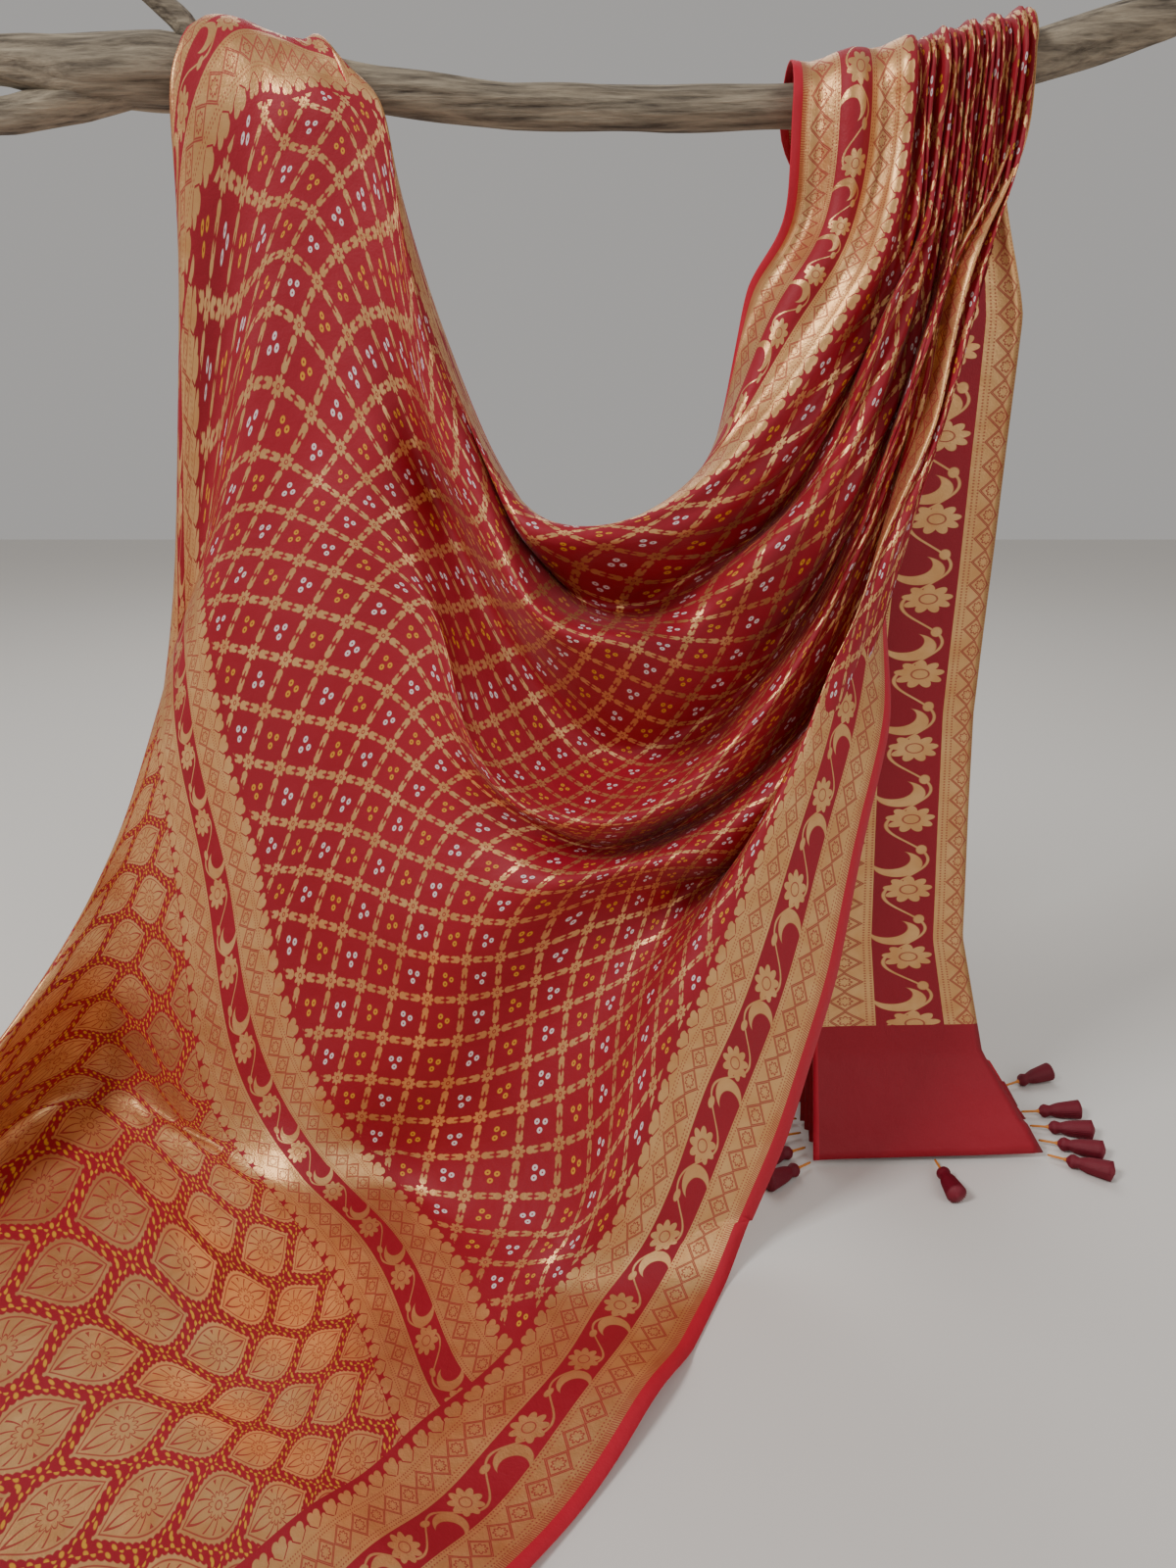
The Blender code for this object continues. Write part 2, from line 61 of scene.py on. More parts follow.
# Fold lines of the front: along, across, x, y, z
FOLDS = {
    "selvedge at the neckline": (
        (0.17, 1.02, 0.085, -0.010, 0.540),
        (0.30, 1.02, 0.060, 0.000, 0.430),
        (0.365, 1.02, 0.015, 0.005, 0.385),
        (0.43, 1.02, -0.025, 0.000, 0.410),
        (0.48, 1.02, -0.055, -0.008, 0.460),
        (0.55, 1.02, -0.090, -0.010, 0.550),
        (0.60, 1.02, -0.110, -0.019, 0.600),
        (0.63, 1.02, -0.125, -0.019, 0.640),
        (0.655, 1.02, -0.142, 0.006, 0.660),
        (0.70, 1.02, -0.165, 0.019, 0.632),
        (0.745, 1.02, -0.192, 0.004, 0.668),
        (0.775, 1.02, -0.205, -0.022, 0.645),
        (0.82, 1.02, -0.212, -0.014, 0.600),
        (0.90, 1.02, -0.218, 0.018, 0.520),
        (1.00, 1.02, -0.240, 0.045, 0.420),
        (1.10, 1.02, -0.270, 0.080, 0.300),
    ),
    "neckline roll": (
        (0.12, 0.93, 0.145, -0.040, 0.540),
        (0.245, 0.90, 0.075, -0.055, 0.435),
        (0.31, 0.885, 0.015, -0.060, 0.410),
        (0.36, 0.88, -0.030, -0.055, 0.410),
        (0.44, 0.90, -0.065, -0.040, 0.475),
        (0.54, 0.93, -0.095, -0.030, 0.565),
        (0.60, 0.942, -0.105, -0.025, 0.625),
    ),
    "hook over the branch": (
        (0.645, 0.942, -0.128, -0.022, 0.634),
        (0.70, 0.942, -0.152, -0.024, 0.634),
        (0.745, 0.942, -0.170, -0.024, 0.636),
        (0.70, 0.975, -0.158, 0.000, 0.661),
        (0.745, 0.975, -0.182, -0.010, 0.664),
        (0.79, 0.942, -0.200, -0.024, 0.590),
    ),
    "first pocket": (
        (0.14, 0.86, 0.160, -0.015, 0.520),
        (0.25, 0.83, 0.100, -0.015, 0.415),
        (0.33, 0.82, 0.030, -0.010, 0.370),
        (0.41, 0.84, -0.020, -0.020, 0.390),
    ),
    "second roll": (
        (0.15, 0.80, 0.155, -0.050, 0.535),
        (0.28, 0.77, 0.090, -0.075, 0.410),
        (0.40, 0.745, 0.020, -0.090, 0.365),
        (0.447, 0.79, -0.025, -0.080, 0.380),
        (0.488, 0.828, -0.050, -0.060, 0.420),
        (0.549, 0.87, -0.085, -0.040, 0.485),
    ),
    "second pocket": (
        (0.16, 0.70, 0.175, -0.015, 0.500),
        (0.30, 0.68, 0.115, -0.020, 0.360),
        (0.42, 0.65, 0.035, -0.020, 0.290),
        (0.51, 0.66, -0.025, -0.030, 0.315),
        (0.60, 0.74, -0.090, -0.010, 0.435),
    ),
    "third roll": (
        (0.18, 0.60, 0.170, -0.050, 0.505),
        (0.33, 0.53, 0.110, -0.060, 0.340),
        (0.46, 0.50, 0.025, -0.085, 0.265),
        (0.56, 0.52, -0.040, -0.080, 0.270),
        (0.60, 0.60, -0.070, -0.060, 0.320),
        (0.645, 0.74, -0.110, -0.030, 0.455),
        (0.665, 0.90, -0.125, -0.030, 0.615),
    ),
    "third pocket": (
        (0.17, 0.50, 0.185, -0.020, 0.500),
        (0.35, 0.42, 0.130, -0.030, 0.310),
        (0.49, 0.40, 0.045, -0.040, 0.240),
        (0.57, 0.44, -0.015, -0.055, 0.240),
    ),
    "fourth roll": (
        (0.20, 0.38, 0.180, -0.045, 0.480),
        (0.38, 0.30, 0.125, -0.070, 0.305),
        (0.505, 0.28, 0.050, -0.090, 0.240),
        (0.59, 0.36, -0.020, -0.085, 0.225),
    ),
    "tuck under the fourth roll": (
        (0.20, 0.27, 0.190, -0.020, 0.480),
        (0.41, 0.22, 0.120, -0.045, 0.240),
        (0.52, 0.23, 0.060, -0.050, 0.210),
        (0.595, 0.30, 0.000, -0.060, 0.200),
    ),
    "lower sheet": (
        (0.20, 0.17, 0.190, -0.040, 0.485),
        (0.40, 0.14, 0.135, -0.070, 0.315),
        (0.56, 0.20, 0.045, -0.070, 0.185),
        (0.623, 0.317, -0.035, -0.070, 0.185),
        (0.66, 0.20, 0.000, -0.080, 0.110),
        (0.72, 0.16, -0.010, -0.120, 0.040),
        (0.797, 0.16, -0.070, -0.125, 0.003),
    ),
    "inner edge of the right border": (
        (0.13, 0.078, 0.195, -0.040, 0.550),
        (0.23, 0.078, 0.180, -0.050, 0.475),
        (0.31, 0.078, 0.155, -0.060, 0.410),
        (0.40, 0.078, 0.130, -0.075, 0.345),
        (0.48, 0.078, 0.105, -0.090, 0.270),
        (0.55, 0.078, 0.080, -0.100, 0.200),
        (0.63, 0.078, 0.050, -0.115, 0.125),
        (0.745, 0.078, -0.010, -0.150, 0.003),
        (0.797, 0.078, -0.030, -0.190, 0.003),
        (0.85, 0.078, -0.065, -0.235, 0.003),
        (0.95, 0.078, -0.110, -0.290, 0.003),
    ),
    "left sheet, inner": (
        (0.664, 0.697, -0.120, -0.030, 0.430),
        (0.643, 0.602, -0.085, -0.045, 0.365),
        (0.643, 0.526, -0.085, -0.050, 0.310),
        (0.643, 0.45, -0.080, -0.055, 0.260),
        (0.643, 0.412, -0.075, -0.065, 0.235),
        (0.69, 0.45, -0.115, -0.045, 0.240),
        (0.705, 0.317, -0.085, -0.065, 0.125),
    ),
    "left sheet, outer": (
        (0.70, 0.90, -0.150, -0.025, 0.605),
        (0.68, 0.83, -0.140, -0.025, 0.560),
        (0.74, 0.90, -0.175, -0.020, 0.585),
        (0.746, 0.811, -0.185, -0.015, 0.505),
        (0.746, 0.735, -0.185, -0.015, 0.440),
        (0.705, 0.735, -0.150, -0.020, 0.455),
    ),
    "inner edge of the cross border": (
        (0.787, 0.659, -0.215, -0.010, 0.360),
        (0.787, 0.583, -0.210, -0.010, 0.290),
        (0.787, 0.507, -0.195, -0.015, 0.220),
        (0.787, 0.45, -0.190, -0.020, 0.175),
        (0.787, 0.393, -0.175, -0.030, 0.115),
        (0.787, 0.317, -0.150, -0.050, 0.060),
        (0.787, 0.241, -0.115, -0.052, 0.006),
    ),
    "left side": (
        (0.79, 0.83, -0.225, 0.005, 0.400),
        (0.84, 0.78, -0.245, 0.010, 0.355),
        (0.90, 0.68, -0.275, 0.015, 0.280),
        (0.95, 0.56, -0.305, 0.020, 0.185),
        (1.00, 0.45, -0.335, 0.015, 0.090),
        (1.05, 0.35, -0.370, 0.000, 0.010),
    ),
    "right selvedge": (
        (0.12, 0.0, 0.185, -0.016, 0.550),
        (0.25, 0.0, 0.170, -0.022, 0.460),
        (0.33, 0.0, 0.165, -0.035, 0.385),
        (0.40, 0.0, 0.170, -0.050, 0.315),
        (0.46, 0.0, 0.160, -0.060, 0.250),
        (0.53, 0.0, 0.145, -0.075, 0.160),
        (0.61, 0.0, 0.120, -0.090, 0.070),
        (0.70, 0.0, 0.085, -0.130, 0.003),
        (0.77, 0.0, 0.050, -0.200, 0.003),
        (0.83, 0.0, 0.020, -0.250, 0.003),
        (0.90, 0.0, -0.025, -0.310, 0.003),
        (1.10, 0.0, -0.140, -0.460, 0.003),
        (1.34, 0.0, -0.280, -0.650, 0.003),
    ),
    "panel on the floor": (
        (0.90, 0.20, -0.140, -0.170, 0.003),
        (0.90, 0.30, -0.200, -0.085, 0.012),
        (0.90, 0.42, -0.265, -0.020, 0.050),
        (1.00, 0.25, -0.215, -0.170, 0.003),
        (1.05, 0.15, -0.195, -0.260, 0.003),
        (1.15, 0.45, -0.440, -0.220, 0.003),
        (1.15, 0.70, -0.420, -0.020, 0.003),
        (1.20, 0.95, -0.300, 0.120, 0.003),
    ),
    "front end": (
        (1.34, 0.25, -0.460, -0.520, 0.003),
        (1.34, 0.50, -0.580, -0.320, 0.003),
        (1.34, 0.75, -0.550, -0.080, 0.003),
        (1.34, 1.02, -0.360, 0.140, 0.003),
    ),
}

# Where the cloth crosses the branch at the right: across, x, reach from the branch's axis
BUNCH = (
    (0.000, 0.212, 0.0175),
    (0.078, 0.222, 0.0200),
    (0.170, 0.215, 0.0240),
    (0.270, 0.209, 0.0175),
    (0.380, 0.203, 0.0240),
    (0.500, 0.197, 0.0175),
    (0.600, 0.191, 0.0240),
    (0.700, 0.185, 0.0175),
    (0.800, 0.178, 0.0230),
    (0.860, 0.171, 0.0175),
    (0.930, 0.163, 0.0210),
    (1.020, 0.103, 0.0175),
)

# Accordion behind the branch: drop, middle x, half width, y of the front fold, fold pitch
DROP = (
    (0.00, 0.195, 0.030, 0.018, 0.0045),
    (0.12, 0.197, 0.048, 0.016, 0.0050),
    (0.35, 0.195, 0.048, 0.018, 0.0055),
    (0.50, 0.200, 0.050, 0.012, 0.0060),
    (0.58, 0.210, 0.058, 0.000, 0.0065),
    (0.64, 0.228, 0.078, -0.030, 0.0080),
)

# Branch centre line: x, height, radius
BRANCH_LINE = (
    (-0.34, 0.650, 0.0090),
    (-0.325, 0.650, 0.0095),
    (-0.30, 0.649, 0.0110),
    (-0.26, 0.645, 0.0160),
    (-0.22, 0.645, 0.0175),
    (-0.17, 0.644, 0.0125),
    (-0.11, 0.636, 0.0110),
    (-0.04, 0.629, 0.0105),
    (0.04, 0.627, 0.0105),
    (0.11, 0.629, 0.0105),
    (0.17, 0.639, 0.0110),
    (0.23, 0.651, 0.0120),
    (0.29, 0.669, 0.0120),
    (0.34, 0.687, 0.0115),
)
PRONG_LINE = (
    (-0.336, 0.6225, 0.0080),
    (-0.30, 0.6245, 0.0085),
    (-0.265, 0.632, 0.0105),
    (-0.235, 0.642, 0.0120),
)
TWIG_LINE = (
    (-0.195, 0.648, 0.0070),
    (-0.208, 0.668, 0.0060),
    (-0.228, 0.684, 0.0050),
)


@dataclass(frozen=True)
class Cut:
    """How the cloth is cut and where its woven parts lie, in metres."""

    width: float = 1.02
    front: float = 1.34
    back: float = 0.70
    front_body: float = 0.797
    back_body: float = 0.35
    selvedge: float = 0.008
    ribs: float = 0.012
    chain_out: float = 0.033
    scroll: float = 0.055
    chain_in: float = 0.078
    border: float = 0.091
    cross: float = 0.088
    plain_end: float = 0.080
    repeat_along: float = 0.0410
    repeat_across: float = 0.03757
    first_flower: float = 0.787

    @property
    def length(self) -> float:
        """The whole length of the cloth."""
        return self.front + self.back


@dataclass(frozen=True)
class LatticeSizes:
    """Sizes of the body's flowers, tulips and dyed dots, in metres."""

    flower: float = 0.0030
    flower_depth: float = 0.0020
    eye: float = 0.0011
    eye_line: float = 0.0003
    run_share: float = 0.737
    side_share: float = 0.676
    bulb_at: float = 0.0080
    bulb_long: float = 0.0026
    bulb_wide: float = 0.0024
    tip_at: float = 0.0110
    tip_aside: float = 0.0014
    tip_long: float = 0.0022
    tip_wide: float = 0.0009
    dot_ring: float = 0.0034
    dot: float = 0.0012
    dot_line: float = 0.0006
    dot_turn: float = 1.2


@dataclass(frozen=True)
class BandSizes:
    """Sizes of the border's chain, scroll and hearts, in metres."""

    chain_pitch: float = 0.0137
    chain_out_middle: float = 0.0225
    chain_in_middle: float = 0.0665
    diamond: float = 0.0064
    bead_pitch: float = 0.0018
    bead_row: float = 0.0086
    bead: float = 0.0004
    fine_line: float = 0.0004
    chain_edge: float = 0.0072
    rib_pitch: float = 0.0012
    rib: float = 0.00025
    scroll_middle: float = 0.0440
    lotus_pitch: float = 0.047
    lotus_at: float = -0.008
    lotus: float = 0.0058
    lotus_depth: float = 0.0030
    stem_swing: float = 0.0075
    stem: float = 0.0006
    heart_pitch: float = 0.01367
    heart_wide: float = 0.0046
    heart_tall: float = 0.0070
    lobe: float = 0.0026
    lobe_aside: float = 0.0024


@dataclass(frozen=True)
class OgeeSizes:
    """Sizes of the panel's ogees and of the dotted channels between them, in metres."""

    tall: float = 0.072
    wide: float = 0.0432
    slope: float = 0.030
    channel: float = 0.0030
    scallops: float = 75.0
    scallop: float = 0.0007
    outline: float = 0.0052
    flower: float = 0.0042
    flower_depth: float = 0.0022
    petals: int = 12
    spokes: float = 14.0
    spoke_curl: float = 420.0
    dot_pitch: float = 0.0055
    dot_aside: float = 0.0013
    dot: float = 0.0010


@dataclass(frozen=True)
class Silk:
    """Crepe georgette: matt crimson silk that lets a little light through."""

    shade: str = "98001c"
    light: str = "b20024"
    selvedge: str = "cc0a2e"
    orange_dye: str = "e2a02a"
    undyed: str = "efe2e2"
    roughness: float = 0.62
    ior: float = 1.54
    sheen: float = 0.08
    sheen_roughness: float = 0.4
    let_through: float = 0.16
    crepe_scale: float = 900.0
    crumple_scale: float = 60.0
    relief: float = 0.0012


@dataclass(frozen=True)
class Zari:
    """Flat gilt thread, woven as floats: half-bright metal over the silk, its shade and light golds
    a painted shade and painted highlight.
    """

    # shade and light are a painted shade and a painted highlight of the one gilt thread
    shade: str = "c8884e"
    light: str = "eec48a"
    metallic: float = 0.75
    roughness: float = 0.40
    cover: float = 0.95
    outline: float = 0.85


@dataclass(frozen=True)
class Driftwood:
    """Weathered driftwood: grey-brown long grain with pale worn ridges and dark cracks."""

    crack: str = "40362c"
    ridge: str = "a89a84"
    crack_at: float = 0.32
    ridge_at: float = 0.68
    grain: tuple[float, float, float] = (14.0, 160.0, 160.0)
    roughness: float = 0.85
    relief: float = 0.003


CUT = Cut()
LATTICE = LatticeSizes()
BAND = BandSizes()
OGEE = OgeeSizes()
SILK = Silk()
ZARI = Zari()
DRIFTWOOD = Driftwood()


def linear(code: str, alpha: float = 1.0) -> tuple[float, float, float, float]:
    """Turns an sRGB hex colour into linear light.

    Args:
        code: Six hex digits, with or without a hash.
        alpha: The fourth number of the result.

    Returns:
        Linear red, green and blue, and alpha.
    """
    raw = np.array([int(code.lstrip("#")[i:i + 2], 16) / 255.0 for i in (0, 2, 4)])
    low, high = raw / 12.92, ((raw + 0.055) / 1.055) ** 2.4
    return (*np.where(raw <= 0.04045, low, high).tolist(), alpha)


def add_node(tree: bpy.types.NodeTree, kind: str, links: dict[Any, Any] | None = None,
             **settings: Any) -> bpy.types.Node:
    """Adds a node, sets its properties and fills its inputs.

    Args:
        tree: The node tree to add to.
        kind: The node's type name.
        links: Input name or number to a socket, a Field or a constant.
        **settings: Properties of the node itself.

    Returns:
        The new node.
    """
    node = tree.nodes.new(kind)
    for name, value in settings.items():
        setattr(node, name, value)
    for key, value in (links or {}).items():
        value = value.socket if isinstance(value, Field) else value
        if isinstance(value, bpy.types.NodeSocket):
            tree.links.new(value, node.inputs[key])
        else:
            node.inputs[key].default_value = value
    return node


class Field:
    """A number that varies over a surface, written with ordinary arithmetic."""

    def __init__(self, tree: bpy.types.NodeTree, socket: Any) -> None:
        """Keeps the tree and the socket that carries the number."""
        self.tree, self.socket = tree, socket

    def apply(self, operation: str, *others: Any, clamp: bool = False) -> "Field":
        """One Math node with this number first.

        Args:
            operation: The Math node's operation.
            *others: The other inputs, Fields or plain numbers.
            clamp: Whether the result is held between 0 and 1.

        Returns:
            The result.
        """
        links = dict(enumerate((self, *others)))
        node = add_node(self.tree, "ShaderNodeMath", links, operation=operation, use_clamp=clamp)
        return Field(self.tree, node.outputs[0])

    def __add__(self, other: Any) -> "Field":
        """Sum."""
        return self.apply("ADD", other)

    def __sub__(self, other: Any) -> "Field":
        """Difference."""
        return self.apply("SUBTRACT", other)

    def __mul__(self, other: Any) -> "Field":
        """Product."""
        return self.apply("MULTIPLY", other)

    def __rsub__(self, other: float) -> "Field":
        """A plain number less this."""
        return self.apply("MULTIPLY_ADD", -1.0, other)

    __radd__ = __add__
    __rmul__ = __mul__

    def size(self) -> "Field":
        """Value without its sign."""
        return self.apply("ABSOLUTE")

    def least(self, other: Any) -> "Field":
        """The smaller of the two."""
        return self.apply("MINIMUM", other)

    def most(self, other: Any) -> "Field":
        """The larger of the two."""
        return self.apply("MAXIMUM", other)

    def root(self) -> "Field":
        """Square root."""
        return self.apply("SQRT")

    def sine(self) -> "Field":
        """Sine."""
        return self.apply("SINE")

    def cosine(self) -> "Field":
        """Cosine."""
        return self.apply("COSINE")

    def floor(self) -> "Field":
        """The whole number below."""
        return self.apply("FLOOR")

    def above(self, limit: Any) -> "Field":
        """1 where this is more than the limit, else 0."""
        return self.apply("GREATER_THAN", limit)

    def below(self, limit: Any) -> "Field":
        """1 where this is less than the limit, else 0."""
        return self.apply("LESS_THAN", limit)

    def angle(self, x: Any) -> "Field":
        """The angle whose sine side is this and cosine side x."""
        return self.apply("ARCTAN2", x)

    def folded(self, pitch: float) -> "Field":
        """Signed distance to the nearest whole repeat: v - pitch * round(v / pitch)."""
        return self - (self * (1.0 / pitch) + 0.5).floor() * pitch

    def inside(self, soft: float = 0.00045) -> "Field":
        """Cover of a shape by its signed distance: 1 inside, 0 outside, softened at the edge."""
        return self.apply("MULTIPLY_ADD", -1.0 / soft, 0.5, clamp=True)

    def line(self, width: float) -> "Field":
        """Cover of a line of that width along this distance's zero."""
        return (self.size() - 0.5 * width).inside()

    def choose(self, when_one: Any, when_zero: Any) -> "Field":
        """Blends two numbers by this, 0 to 1."""
        node = add_node(self.tree, "ShaderNodeMix",
                        {"Factor": self, "A": when_zero, "B": when_one}, data_type="FLOAT")
        return Field(self.tree, node.outputs["Result"])


def distance(x: Field, y: Any) -> Field:
    """Length of the vector (x, y)."""
    return (x * x + y * y).root()


def ellipse(x: Field, y: Field, wide: float, tall: float) -> Field:
    """Nearly the distance to an ellipse: (length of (x/wide, y/tall) - 1) * the smaller radius."""
    return (distance(x * (1.0 / wide), y * (1.0 / tall)) - 1.0) * min(wide, tall)


def rosette(x: Field, y: Field, radius: float, depth: float, petals: int) -> Field:
    """Nearly the distance to a flower: r - (radius + depth * |cos(petals / 2 * angle)|)."""
    swell = (y.angle(x) * (petals / 2.0)).cosine().size()
    return distance(x, y) - (swell * depth + radius)


class Weave:
    """The woven and dyed pattern, as covers of gold, of dark outline and of each colour of dot."""

    def __init__(self, tree: bpy.types.NodeTree) -> None:
        """Reads the cloth's own coordinates from its UV map."""
        uv = add_node(tree, "ShaderNodeUVMap", uv_map="Weave")
        parts = add_node(tree, "ShaderNodeSeparateXYZ", {0: uv.outputs[0]})
        self.tree = tree
        self.along = Field(tree, parts.outputs[0]) - CUT.back
        self.across = Field(tree, parts.outputs[1])
        side = (self.across - 0.5 * CUT.width).size()
        self.edge = 0.5 * CUT.width - side
        self.past = (self.along - CUT.front_body).most(self.along * -1.0 - CUT.back_body)
        self.left = (CUT.front - self.along).least(self.along + CUT.back)
        self.gold, self.dark, self.orange, self.white = self.compose()

    def lattice(self) -> tuple[Field, Field, Field]:
        """Flowers at the crossings, facing tulips between them, and rings of dots in the cells.

        The half-drop lattice is folded to the nearest flower: both coordinates to 0 to 1/2 of a
        repeat, then past 1/2 in sum they are turned about the cell's middle.

        Returns:
            Covers of gold, of orange dots and of white dots.
        """
        p = (self.along - CUT.first_flower) * (1.0 / CUT.repeat_along)
        q = (self.across - 0.5 * CUT.width) * (1.0 / CUT.repeat_across) + 0.5
        near_p, near_q = p.folded(1.0).size(), q.folded(1.0).size()
        turned = (near_p + near_q).above(0.5) * 0.5
        x = (near_p - turned).size() * CUT.repeat_along
        y = (near_q - turned).size() * CUT.repeat_across
        flower = rosette(x, y, LATTICE.flower, LATTICE.flower_depth, 8)
        eye = distance(x, y) - LATTICE.eye
        run = x * LATTICE.run_share + y * LATTICE.side_share
        off = (x * LATTICE.side_share - y * LATTICE.run_share).size()
        bulb = ellipse(run - LATTICE.bulb_at, off, LATTICE.bulb_long, LATTICE.bulb_wide)
        tips = ellipse(run - LATTICE.tip_at, off - LATTICE.tip_aside, LATTICE.tip_long,
                       LATTICE.tip_wide)
        gold = flower.least(bulb).least(tips).inside()
        gold = gold * (1.0 - (eye.size() - LATTICE.eye_line).inside())
        dots, row = self.dots(p, q)
        return gold, dots * row, dots * (1.0 - row)

    def dots(self, p: Field, q: Field) -> tuple[Field, Field]:
        """Three tied rings in each cell, turned a little by chance from cell to cell.

        Args:
            p: Repeats along from a flower.
            q: Repeats across from a flower.

        Returns:
            Cover of the rings, and 1 in the cells whose rings are orange.
        """
        m, n = p + q, p - q
        cell_m, cell_n = m.floor(), n.floor()
        dm, dn = m - cell_m - 0.5, n - cell_n - 0.5
        u = (dm + dn) * (0.5 * CUT.repeat_along)
        v = (dm - dn) * (0.5 * CUT.repeat_across)
        seat = add_node(self.tree, "ShaderNodeCombineXYZ", {0: cell_m, 1: cell_n})
        chance = add_node(self.tree, "ShaderNodeTexWhiteNoise", {"Vector": seat.outputs[0]})
        turn = Field(self.tree, chance.outputs["Value"]) * LATTICE.dot_turn
        third = 2.0 * math.pi / 3.0
        spin = ((v.angle(u) + turn) * (1.0 / third)).folded(1.0) * third
        reach = distance(u, v)
        ring = distance(reach * spin.cosine() - LATTICE.dot_ring, reach * spin.sine())
        row = (cell_m * 0.5 - (cell_m * 0.5).floor()).above(0.25)
        return ((ring - LATTICE.dot).size() - LATTICE.dot_line).inside(), row

    def chain(self, run: Field, deep: Field) -> Field:
        """Dark outlines of both chain bands: diamonds round small blooms, between rows of beads.

        Args:
            run: Length along the band.
            deep: Depth in from the band's outer edge.

        Returns:
            Cover of the outlines, the ribs beside the selvedge among them.
        """
        mid = (deep - BAND.chain_out_middle).size().least((deep - BAND.chain_in_middle).size())
        diamond = (run.folded(BAND.chain_pitch).size() + mid - BAND.diamond).size() - 0.0005
        bloom = rosette(run.folded(BAND.chain_pitch), mid, 0.0019, 0.0011, 8)
        outlines = (bloom.size() - BAND.fine_line).inside()
        outlines = outlines.most((diamond.size() - BAND.fine_line).inside())
        beads = distance(run.folded(BAND.bead_pitch), (mid - BAND.bead_row).size() - 0.0010)
        beads = (beads - BAND.bead).inside()
        chain = (mid.below(BAND.chain_edge) * outlines).most(mid.above(BAND.chain_edge) * beads)
        ribs = (run.folded(BAND.rib_pitch).size() - BAND.rib).inside() * deep.below(CUT.ribs)
        return chain.most(ribs)

    def scroll(self, run: Field, deep: Field) -> tuple[Field, Field]:
        """Lotus heads, curved leaves and buds on a waving stem: level = swing * sin(run).

        Args:
            run: Length along the band.
            deep: Depth in from the band's outer edge.

        Returns:
            Covers of gold and of the rings in the lotus heads.
        """
        level = deep - BAND.scroll_middle
        x = run.folded(BAND.lotus_pitch)
        head_x, head_y = x - BAND.lotus_at, level - 0.001
        head = rosette(head_x, head_y, BAND.lotus, BAND.lotus_depth, 9)
        ring = (distance(head_x, head_y) - 0.0030).size() - 0.0003
        leaf = (distance(x - 0.009, level + 0.003) - 0.0085).most(
            0.0068 - distance(x - 0.0125, level + 0.0055))
        bud = ellipse(x - 0.0185, level - 0.0050, 0.0030, 0.0019)
        wave = (run * (2.0 * math.pi / BAND.lotus_pitch)).sine() * BAND.stem_swing
        stem = (level - wave).size() - BAND.stem
        return head.least(leaf).least(bud).least(stem).inside(), ring.inside()

    def hearts(self, run: Field, deep: Field) -> Field:
        """Hearts with their tips at the border, and wedges of gold between the tips.

        Args:
            run: Length along the band.
            deep: Depth in from the band's outer edge.

        Returns:
            Cover of gold.
        """
        height = deep - CUT.chain_in
        aside = run.folded(BAND.heart_pitch).size()
        cup = (aside - BAND.heart_wide).most(aside * 0.8 - height).most(height - BAND.heart_tall)
        lobes = distance(aside - BAND.lobe_aside, height - BAND.heart_tall) - BAND.lobe
        heart = cup.least(lobes)
        wedge = (height - aside * 0.9 + 0.0006).most(height - 0.0050)
        return heart.inside().most(wedge.inside() * (heart - 0.0008).above(0.0))

    def band(self, run: Field, deep: Field) -> tuple[Field, Field]:
        """The border, from its outer edge in: ribs, chain, lotus scroll, chain and hearts.

        Args:
            run: Length along the band.
            deep: Depth in from the band's outer edge.

        Returns:
            Covers of gold and of dark outline.
        """
        scroll, rings = self.scroll(run, deep)
        in_scroll = deep.above(CUT.chain_out) * deep.below(CUT.scroll)
        in_hearts = deep.above(CUT.chain_in)
        ground = in_scroll.choose(scroll, deep.above(CUT.selvedge))
        gold = in_hearts.choose(self.hearts(run, deep), ground)
        dark = in_scroll.choose(rings, in_hearts.choose(0.0, self.chain(run, deep)))
        return gold, dark

    def ogees(self) -> tuple[Field, Field, Field]:
        """Half-drop ogees: width at height p is (1 + cos 2 pi p) / 4, parted by dotted channels.

        Returns:
            Covers of gold, of dark outline and of the channels' dots.
        """
        p = (self.past - CUT.cross) * (1.0 / OGEE.tall)
        q = (self.across - 0.5 * CUT.width) * (1.0 / OGEE.wide)
        near_p, near_q = p.folded(1.0).size(), q.folded(1.0).size()
        turned = (near_p + near_q).above(0.5) * 0.5
        p, q = (near_p - turned).size(), (near_q - turned).size()
        room = ((p * (2.0 * math.pi)).cosine() * 0.25 + 0.25 - q) * OGEE.slope
        x, y = p * OGEE.tall, q * OGEE.wide
        scallop = (p * OGEE.scallops).sine().size() * OGEE.scallop
        gold = (OGEE.channel - room + scallop).inside()
        flower = rosette(x, y, OGEE.flower, OGEE.flower_depth, OGEE.petals)
        spokes = (y.angle(x) * OGEE.spokes + distance(x, y) * OGEE.spoke_curl).sine()
        dark = ((room - OGEE.outline).size() - 0.0003).inside()
        dark = dark.most((flower.size() - 0.0004).inside())
        dark = dark.most((distance(x, y) - 0.0020).line(0.0007))
        dark = dark.most(spokes.above(0.86) * flower.above(0.0008) * room.above(0.0062))
        dot = distance(x.folded(OGEE.dot_pitch), (room - 0.0002).size() - OGEE.dot_aside)
        return gold, dark, (dot - OGEE.dot).inside()

